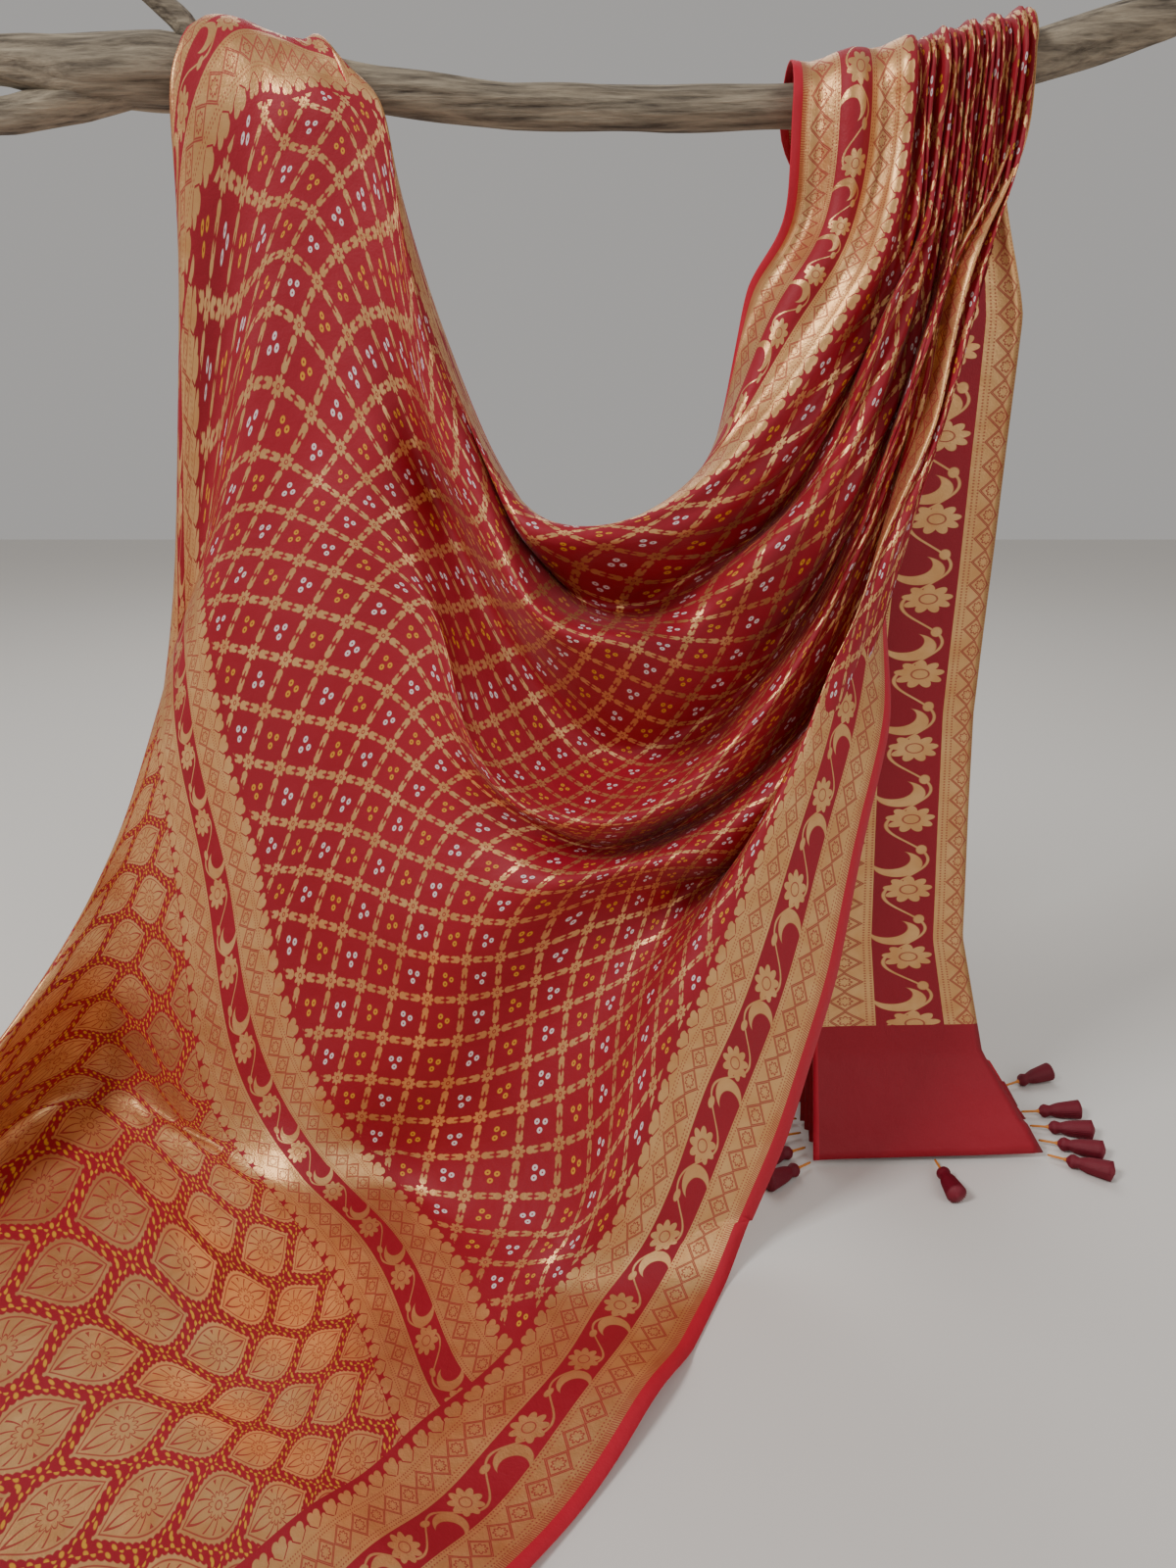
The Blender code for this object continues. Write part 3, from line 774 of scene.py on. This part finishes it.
    def compose(self) -> tuple[Field, Field, Field, Field]:
        """Lays body, borders, cross borders, panels and plain ends beside each other.

        Returns:
            Covers of gold, of dark outline, of orange dots and of white dots.
        """
        tips = self.past.below(CUT.ribs)
        first = tips.choose(CUT.chain_in + CUT.ribs - self.past, self.past)
        last = self.left - CUT.plain_end + CUT.ribs
        on_side = self.edge.below(CUT.border)
        in_last = last.below(CUT.border)
        run = on_side.choose(self.along, self.across)
        deep = on_side.choose(self.edge, in_last.choose(last, first))
        band_gold, band_dark = self.band(run, deep)
        body_gold, orange, white = self.lattice()
        panel_gold, panel_dark, panel_dots = self.ogees()
        in_body = self.past.below(0.0)
        in_cross = self.past.below(CUT.cross).most(in_last)
        plain = self.left.below(CUT.plain_end)
        gold = in_body.choose(body_gold, in_cross.choose(band_gold, panel_gold))
        dark = in_body.choose(0.0, in_cross.choose(band_dark, panel_dark))
        gold, dark = on_side.choose(band_gold, gold), on_side.choose(band_dark, dark)
        open_field = 1.0 - on_side
        panel = open_field * (1.0 - in_body) * (1.0 - in_cross)
        orange = (open_field * in_body * orange).most(panel * panel_dots * (1.0 - panel_gold))
        white = open_field * in_body * white
        keep = 1.0 - plain
        return gold * keep, dark, orange * keep, white * keep


def dyed(tree: bpy.types.NodeTree, weave: Weave, place: bpy.types.NodeSocket) -> Any:
    """The silk's colour: crimson, uneven in clouds, with brighter selvedges and dyed dots.

    Args:
        tree: The node tree to add to.
        weave: The pattern's covers.
        place: The object's own coordinates.

    Returns:
        The colour's socket.
    """
    cloud = add_node(tree, "ShaderNodeTexNoise", {"Vector": place, "Scale": 9.0, "Detail": 3.0})
    ground = add_node(tree, "ShaderNodeMix",
                      {"Factor": cloud.outputs[0], "A": linear(SILK.shade),
                       "B": linear(SILK.light)}, data_type="RGBA")
    colour = ground.outputs["Result"]
    layers = ((weave.edge.below(CUT.selvedge), SILK.selvedge), (weave.orange, SILK.orange_dye),
              (weave.white, SILK.undyed))
    for cover, code in layers:
        layer = add_node(tree, "ShaderNodeMix", {"Factor": cover, "A": colour, "B": linear(code)},
                         data_type="RGBA")
        colour = layer.outputs["Result"]
    return colour


def georgette() -> bpy.types.Material:
    """Crepe georgette with flat gilt threads woven over it: matt silk beside soft metal, the metal's
    colour carrying a painted highlight and painted shade.

    Returns:
        The material.
    """
    material = bpy.data.materials.new("zari georgette")
    material.use_nodes = True
    tree = material.node_tree
    tree.nodes.clear()
    weave = Weave(tree)
    place = add_node(tree, "ShaderNodeTexCoord").outputs["Object"]
    colour = dyed(tree, weave, place)
    crepe = add_node(tree, "ShaderNodeTexNoise",
                     {"Vector": place, "Scale": SILK.crepe_scale, "Detail": 2.0})
    crumple = add_node(tree, "ShaderNodeTexNoise",
                       {"Vector": place, "Scale": SILK.crumple_scale, "Detail": 3.0})
    relief = Field(tree, crepe.outputs[0]) * 0.3 + Field(tree, crumple.outputs[0]) * 2.0
    bump = add_node(tree, "ShaderNodeBump",
                    {"Height": relief, "Strength": 0.45, "Distance": SILK.relief})
    silk = add_node(tree, "ShaderNodeBsdfPrincipled",
                    {"Base Color": colour, "Roughness": SILK.roughness, "IOR": SILK.ior,
                     "Sheen Weight": SILK.sheen, "Sheen Roughness": SILK.sheen_roughness,
                     "Normal": bump.outputs[0]})
    through = add_node(tree, "ShaderNodeBsdfTranslucent", {"Color": colour})
    cloth = add_node(tree, "ShaderNodeMixShader",
                     {0: SILK.let_through, 1: silk.outputs[0], 2: through.outputs[0]})
    # Painted highlight and painted shade on the gilt thread: light gold where the crumple noise,
    # which also raises the bump, is high, shade gold where it is low
    thread = add_node(tree, "ShaderNodeMix",
                      {"Factor": crumple.outputs[0], "A": linear(ZARI.shade),
                       "B": linear(ZARI.light)}, data_type="RGBA")
    zari = add_node(tree, "ShaderNodeBsdfPrincipled",
                    {"Base Color": thread.outputs["Result"], "Metallic": ZARI.metallic,
                     "Roughness": ZARI.roughness, "Normal": bump.outputs[0]})
    cover = weave.gold * (1.0 - weave.dark * ZARI.outline) * ZARI.cover
    mixed = add_node(tree, "ShaderNodeMixShader",
                     {0: cover, 1: cloth.outputs[0], 2: zari.outputs[0]})
    add_node(tree, "ShaderNodeOutputMaterial", {0: mixed.outputs[0]})
    return material


def wood() -> bpy.types.Material:
    """Weathered driftwood, its noise drawn out along the grain.

    Returns:
        The material.
    """
    material = bpy.data.materials.new("weathered driftwood")
    material.use_nodes = True
    tree = material.node_tree
    shader = tree.nodes["Principled BSDF"]
    place = add_node(tree, "ShaderNodeTexCoord")
    grain = add_node(tree, "ShaderNodeMapping", {0: place.outputs["Object"],
                                                 "Scale": DRIFTWOOD.grain})
    noise = add_node(tree, "ShaderNodeTexNoise", {"Vector": grain.outputs[0], "Scale": 1.5,
                                                  "Detail": 8.0, "Roughness": 0.65})
    ramp = add_node(tree, "ShaderNodeValToRGB", {0: noise.outputs[0]})
    ramp.color_ramp.elements[0].position = DRIFTWOOD.crack_at
    ramp.color_ramp.elements[0].color = linear(DRIFTWOOD.crack)
    ramp.color_ramp.elements[1].position = DRIFTWOOD.ridge_at
    ramp.color_ramp.elements[1].color = linear(DRIFTWOOD.ridge)
    tree.links.new(ramp.outputs[0], shader.inputs["Base Color"])
    bump = add_node(tree, "ShaderNodeBump", {"Height": noise.outputs[0], "Strength": 0.8,
                                             "Distance": DRIFTWOOD.relief})
    tree.links.new(bump.outputs[0], shader.inputs["Normal"])
    shader.inputs["Roughness"].default_value = DRIFTWOOD.roughness
    return material


def plain(name: str, code: str, roughness: float, grain: float) -> bpy.types.Material:
    """A matt finish with fine relief.

    Args:
        name: The real material's name.
        code: Its sRGB hex colour.
        roughness: Its roughness.
        grain: The relief's noise scale, per metre.

    Returns:
        The material.
    """
    material = bpy.data.materials.new(name)
    material.use_nodes = True
    tree = material.node_tree
    shader = tree.nodes["Principled BSDF"]
    shader.inputs["Base Color"].default_value = linear(code)
    shader.inputs["Roughness"].default_value = roughness
    place = add_node(tree, "ShaderNodeTexCoord")
    noise = add_node(tree, "ShaderNodeTexNoise", {"Vector": place.outputs["Object"],
                                                  "Scale": grain, "Detail": 3.0})
    bump = add_node(tree, "ShaderNodeBump", {"Height": noise.outputs[0], "Strength": 0.4,
                                             "Distance": 0.001})
    tree.links.new(bump.outputs[0], shader.inputs["Normal"])
    return material


def grid_mesh(name: str, places: np.ndarray, closed: bool = False) -> bpy.types.Mesh:
    """A mesh of quads over a grid of places.

    Args:
        name: The mesh's name.
        places: Rows by columns of places.
        closed: Whether each row is a ring; the first and last rows are then capped.

    Returns:
        The mesh, shaded smooth.
    """
    rows, columns = places.shape[:2]
    order = np.arange(rows * columns).reshape(rows, columns)
    right = np.roll(order, -1, axis=1) if closed else order[:, 1:]
    left = order if closed else order[:, :-1]
    faces = np.stack([left[:-1], left[1:], right[1:], right[:-1]], axis=-1).reshape(-1, 4)
    mesh = bpy.data.meshes.new(name)
    ends = [order[0].tolist(), order[-1][::-1].tolist()] if closed else []
    mesh.from_pydata(places.reshape(-1, 3).tolist(), [], faces.tolist() + ends)
    mesh.shade_smooth()
    return mesh


def add_piece(name: str, mesh: bpy.types.Mesh, materials: Sequence[bpy.types.Material],
              nodes: Iterable[str]) -> bpy.types.Object:
    """Links a finished piece that stands for some nodes and rides on the one body.

    Args:
        name: The piece's name.
        mesh: Its mesh, in place.
        materials: Its materials, in order of slot.
        nodes: The nodes that it stands for.

    Returns:
        The piece.
    """
    piece = bpy.data.objects.new(name, mesh)
    bpy.context.scene.collection.objects.link(piece)
    for material in materials:
        mesh.materials.append(material)
    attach(piece, "root")
    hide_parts(*nodes)
    LOG.info("made %s", name)
    return piece


@dataclass
class Branch:
    """Driftwood branch with a forked end and a broken twig."""

    sides: int = 40
    step: float = 0.004

    @staticmethod
    def at(x: np.ndarray, column: int) -> np.ndarray:
        """Height (column 1) or radius (column 2) of the branch at x."""
        table = np.array(BRANCH_LINE)
        return np.interp(x, table[:, 0], table[:, column])

    def limb(self, line: Sequence[Sequence[float]], seed: float) -> np.ndarray:
        """Rings round a centre line: radius * (1 + knots and grooves as sums of sines).

        Args:
            line: Rows of x, height and radius.
            seed: Phase of the knots, so that limbs differ.

        Returns:
            Rings by sides of places.
        """
        table = np.array(line)
        run = np.concatenate([[0.0], np.cumsum(np.linalg.norm(np.diff(table[:, :2], axis=0),
                                                              axis=1))])
        t = np.linspace(0.0, run[-1], max(int(run[-1] / self.step), 6))
        x, z, r = (np.interp(t, run, table[:, i]) for i in range(3))
        slope = np.arctan2(np.gradient(z), np.gradient(x))
        turn = np.linspace(0.0, 2.0 * np.pi, self.sides, endpoint=False)[None]
        t = t[:, None]
        bark = (0.05 * np.sin(3 * turn + 40 * t + seed) + 0.04 * np.sin(7 * turn - 25 * t)
                + 0.05 * np.sin(90 * t + seed) * np.sin(2 * turn + seed) + 0.03 * np.sin(13 * turn))
        reach = r[:, None] * (1.0 + bark * 0.8)
        side = reach * np.cos(turn)
        rise = reach * np.sin(turn)
        return np.stack([x[:, None] - rise * np.sin(slope)[:, None], side,
                         z[:, None] + rise * np.cos(slope)[:, None]], axis=-1) + FLOOR_POINT

    def build(self) -> None:
        """Makes the branch, its prong and its twig, and sets them on the one body."""
        finish = wood()
        main = add_piece("driftwood", grid_mesh("driftwood", self.limb(BRANCH_LINE, 0.3), True),
                         [finish], ["branch"])
        for name, line, seed in (("prong", PRONG_LINE, 1.7), ("twig", TWIG_LINE, 2.9)):
            limb = bpy.data.objects.new(name, grid_mesh(name, self.limb(line, seed), True))
            bpy.context.scene.collection.objects.link(limb)
            limb.data.materials.append(finish)
            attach(limb, "root")
        LOG.info("branch has %d faces", len(main.data.polygons))


@dataclass
class Dupatta:
    """The cloth, on a fine grid bent through the same fold lines as its solid."""

    rows: int = 200
    columns: int = 122
    thickness: float = 0.0008
    over_branch: float = 0.06
    fold_blend: float = 0.12
    back_reach: float = 0.0195
    hem_height: float = 0.003
    clear: float = 0.0055
    floor_gap: float = 0.0014
    gather_depth: float = 0.0075
    gather_middle: float = 0.05
    gather_reach: float = 0.22
    gather_pitch: float = 0.045
    ties: np.ndarray = field(init=False)
    weights: np.ndarray = field(init=False)

    def __post_init__(self) -> None:
        """Solves the thin plate through the tie points."""
        rows = [row for group in FOLDS.values() for row in group]
        for across, x, reach in BUNCH:
            height = float(Branch.at(np.array(x), 1))
            rows.append((0.0, across, x, -reach, height))
            rows.append((0.035, across, x, -max(0.9 * reach, 0.017), height - 0.034))
        table = np.array(rows)
        self.ties = table[:, :2]
        count = len(table)
        linear_part = np.hstack([np.ones((count, 1)), self.ties])
        system = np.zeros((count + 3, count + 3))
        system[:count, :count] = self.kernel(self.ties) + 1e-5 * np.eye(count)
        system[:count, count:] = linear_part
        system[count:, :count] = linear_part.T
        self.weights = np.linalg.solve(system, np.vstack([table[:, 2:], np.zeros((3, 3))]))

    def kernel(self, flat: np.ndarray) -> np.ndarray:
        """r squared log r from each point to each tie."""
        gap = np.linalg.norm(flat[:, None] - self.ties[None], axis=-1)
        return gap ** 2 * np.log(np.maximum(gap, 1e-9))

    def front(self, flat: np.ndarray) -> np.ndarray:
        """The front's surface at cloth coordinates."""
        plane = np.hstack([np.ones((len(flat), 1)), flat])
        count = len(self.ties)
        return self.kernel(flat) @ self.weights[:count] + plane @ self.weights[count:]

    def behind(self, along: np.ndarray, across: np.ndarray, top: np.ndarray) -> np.ndarray:
        """Half round over the branch, then blended into an accordion of folds.

        Args:
            along: Distances along, all negative.
            across: Distances across.
            top: Where the same threads lie at the front of the branch.

        Returns:
            Places behind the branch.
        """
        drop = np.maximum(-along - self.over_branch, 0.0)
        over = np.clip(-along / self.over_branch, 0.0, 1.0)
        reach = (1.0 - over) * -top[:, 1] + over * self.back_reach
        bunch, table = np.array(BUNCH), np.array(DROP)
        fold = np.interp(across, bunch[:, 0], np.arange(len(bunch)))
        middle, half, start, pitch = (np.interp(drop, table[:, 0], table[:, i]) for i in range(1, 5))
        blend = np.clip(drop / self.fold_blend, 0.0, 1.0)
        parted = np.clip(3.0 * blend, 0.0, 1.0)
        blend = blend * blend * (3.0 - 2.0 * blend)
        x = (1.0 - blend) * top[:, 0] + blend * (middle - half * np.cos(np.pi * fold))
        y = np.where(over < 1.0, -reach * np.cos(np.pi * over),
                     (1.0 - parted) * reach + parted * (start + pitch * fold))
        fallen = drop / (CUT.back - self.over_branch)
        z = top[:, 2] + (self.hem_height - top[:, 2]) * fallen + reach * np.sin(np.pi * over)
        return np.stack([x, y, z], axis=1)

    def places(self, along: np.ndarray, across: np.ndarray) -> np.ndarray:
        """Places of cloth coordinates, lifted off the floor and off the branch.

        Ripples are sums of sines over the cloth; gathers are a sine across it, strongest where
        it lies on the branch and dying away as a bell curve along it.

        Args:
            along: Distances along.
            across: Distances across.

        Returns:
            Places in the frame.
        """
        flat = np.stack([np.maximum(along, 0.0), across], axis=1)
        out = np.concatenate([self.front(part) for part in np.array_split(flat, 12)])
        back = along < 0.0
        out[back] = self.behind(along[back], across[back], out[back])
        ripple = (0.0016 * np.sin(23.0 * across + 31.0 * along + 2.0 * np.sin(9.0 * along))
                  + 0.0009 * np.sin(57.0 * along - 41.0 * across))
        strength = np.exp(-((along - self.gather_middle) / self.gather_reach) ** 2)
        gather = self.gather_depth * strength * np.sin(2.0 * np.pi * across / self.gather_pitch)
        out[:, 1] += np.where(back, 0.3, 1.0) * ripple + gather
        out[:, 2] += np.where(out[:, 2] < 0.02, 1.5, 0.2) * (ripple + 0.0016)
        over = out[:, 2] - self.floor_gap
        out[:, 2] = self.floor_gap + 0.5 * (over + np.sqrt(over ** 2 + 1e-6))
        rise = out[:, 2] - Branch.at(out[:, 0], 1)
        gap = np.maximum(np.hypot(out[:, 1], rise), 1e-6)
        push = np.maximum((Branch.at(out[:, 0], 2) + self.clear) / gap, 1.0)
        out[:, 1] *= push
        out[:, 2] += rise * (push - 1.0)
        return out + FLOOR_POINT

    def build(self) -> bpy.types.Object:
        """Makes the sheet with its UV map in metres and its thickness.

        Returns:
            The cloth's piece.
        """
        along = np.linspace(-CUT.back, CUT.front, self.rows * 2)
        across = np.linspace(0.0, CUT.width, self.columns)
        a, b = (grid.ravel() for grid in np.meshgrid(along, across, indexing="ij"))
        mesh = grid_mesh("dupatta_cloth", self.places(a, b).reshape(len(along), len(across), 3))
        corners = np.empty(len(mesh.loops), dtype=np.int32)
        mesh.loops.foreach_get("vertex_index", corners)
        layer = mesh.uv_layers.new(name="Weave")
        layer.data.foreach_set("uv", np.stack([a + CUT.back, b], axis=1)[corners].ravel())
        piece = add_piece("dupatta_cloth", mesh, [georgette()], ["dupatta"])
        wall = piece.modifiers.new("thickness", "SOLIDIFY")
        wall.thickness = self.thickness
        wall.offset = 0.0
        return piece


# Outline of a tassel: share of its length, radius
TASSEL_OUTLINE = (
    (0.00, 0.0006),
    (0.02, 0.0008),
    (0.27, 0.0008),
    (0.32, 0.0030),
    (0.36, 0.0042),
    (0.42, 0.0040),
    (0.45, 0.0026),
    (0.49, 0.0034),
    (0.60, 0.0046),
    (0.98, 0.0060),
    (1.00, 0.0010),
)


@dataclass
class Tassels:
    """Knotted thread tassels: a cord loop, a bound head and a skirt of strands."""

    strands: int = 26
    rings: int = 22
    cord_rings: int = 6
    strand_depth: float = 0.14
    bound_from: float = 0.3

    @staticmethod
    def line(node: bpy.types.Object) -> tuple[np.ndarray, np.ndarray, np.ndarray]:
        """The centre line of a tassel's solid, by its points' longest direction.

        Args:
            node: The tassel's solid.

        Returns:
            The cord's end, the skirt's end and the direction from one to the other.
        """
        points = np.array([node.matrix_world @ vertex.co for vertex in node.data.vertices])
        centre = points.mean(axis=0)
        axis = np.linalg.svd(points - centre, full_matrices=False)[2][0]
        run = (points - centre) @ axis
        wide = np.linalg.norm(points - centre - run[:, None] * axis, axis=1)
        if wide[run > np.median(run)].max() < wide[run < np.median(run)].max():
            axis, run = -axis, -run
        return centre + run.min() * axis, centre + run.max() * axis, axis

    def turned(self, node: bpy.types.Object) -> np.ndarray:
        """Rings round the centre line: outline(t) * (1 + depth * cos(strands * angle)).

        Args:
            node: The tassel's solid.

        Returns:
            Rings by sides of places.
        """
        start, end, axis = self.line(node)
        t = np.linspace(0.0, 1.0, self.rings)[:, None]
        outline = np.array(TASSEL_OUTLINE)
        turn = np.linspace(0.0, 2.0 * np.pi, 2 * self.strands, endpoint=False)[None]
        ridge = self.strand_depth * np.cos(self.strands * turn) * (t > self.bound_from)
        ring = np.interp(t, outline[:, 0], outline[:, 1]) * (1.0 + ridge)
        flat = np.array(Vector(axis).orthogonal().normalized())
        other = np.cross(axis, flat)
        return (start + t[..., None] * (end - start) + (ring * np.cos(turn))[..., None] * flat
                + (ring * np.sin(turn))[..., None] * other)

    def build(self, nodes: Mapping[str, bpy.types.Object]) -> list[bpy.types.Object]:
        """Makes each tassel again with its strands, its cord in orange.

        Args:
            nodes: The model's nodes by name.

        Returns:
            The tassels' pieces.
        """
        made: list[bpy.types.Object] = []
        skirt = plain("maroon rayon thread", "7e0f26", 0.55, 1200.0)
        cord = plain("orange rayon thread", "d8842e", 0.55, 1500.0)
        for name in sorted(name for name in nodes if "tassel" in name):
            mesh = grid_mesh(name + "_thread", self.turned(nodes[name]), True)
            piece = add_piece(name + "_thread", mesh, [skirt, cord], [name])
            slots = np.zeros(len(mesh.polygons), dtype=np.int32)
            slots[:2 * self.strands * self.cord_rings] = 1
            mesh.polygons.foreach_set("material_index", slots)
            made.append(piece)
        return made


@dataclass
class Studio:
    """Pale floor, soft lights and the camera."""

    camera_place: tuple[float, float, float] = (0.0, -0.6696, 0.4752)
    pitch: float = 18.0
    sensor: float = 36.0
    focal_share: float = 0.721875
    floor_size: float = 8.0
    aim: tuple[float, float, float] = (0.30, 0.0, -0.30)
    world_strength: float = 0.45

    def build(self) -> None:
        """Places the camera, the floor and the lights."""
        camera = bpy.data.cameras.new("camera")
        camera.sensor_fit = "VERTICAL"
        camera.sensor_height = self.sensor
        camera.lens = self.sensor * self.focal_share
        camera.clip_start = 0.01
        holder = bpy.data.objects.new("camera", camera)
        bpy.context.scene.collection.objects.link(holder)
        holder.location = Vector(self.camera_place) + Vector(FLOOR_POINT)
        holder.rotation_euler = (math.radians(90.0 - self.pitch), 0.0, 0.0)
        bpy.context.scene.camera = holder
        bpy.ops.mesh.primitive_plane_add(size=self.floor_size, location=FLOOR_POINT)
        floor = bpy.context.object
        floor.name = "floor"
        floor.data.materials.append(plain("pale matt floor", "e4e0da", 0.7, 20.0))
        for name, place, size, power in (("window", (-1.3, -1.2, 1.5), 0.7, 42.0),
                                         ("fill", (1.6, -1.6, 0.9), 1.6, 12.0),
                                         ("rear", (0.2, 1.6, 1.3), 1.4, 12.0)):
            light = bpy.data.lights.new(name, "AREA")
            light.energy, light.size = power, size
            lamp = bpy.data.objects.new(name, light)
            bpy.context.scene.collection.objects.link(lamp)
            lamp.location = place
            aim = Vector(self.aim) - lamp.location
            lamp.rotation_euler = aim.to_track_quat("-Z", "Y").to_euler()
        world = bpy.data.worlds.new("studio")
        bpy.context.scene.world = world
        world.use_nodes = True
        world.node_tree.nodes["Background"].inputs[0].default_value = linear("f2efec")
        world.node_tree.nodes["Background"].inputs[1].default_value = self.world_strength


def main(nodes: Mapping[str, bpy.types.Object]) -> None:
    """Builds the studio, the branch, the cloth and its tassels.

    Args:
        nodes: The model's nodes by name.
    """
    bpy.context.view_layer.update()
    Studio().build()
    Branch().build()
    cloth = Dupatta().build()
    tassels = Tassels().build(nodes)
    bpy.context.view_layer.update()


if __name__ == "__main__":
    logging.basicConfig(level=logging.INFO)
    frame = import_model()
    main(frame["nodes"])
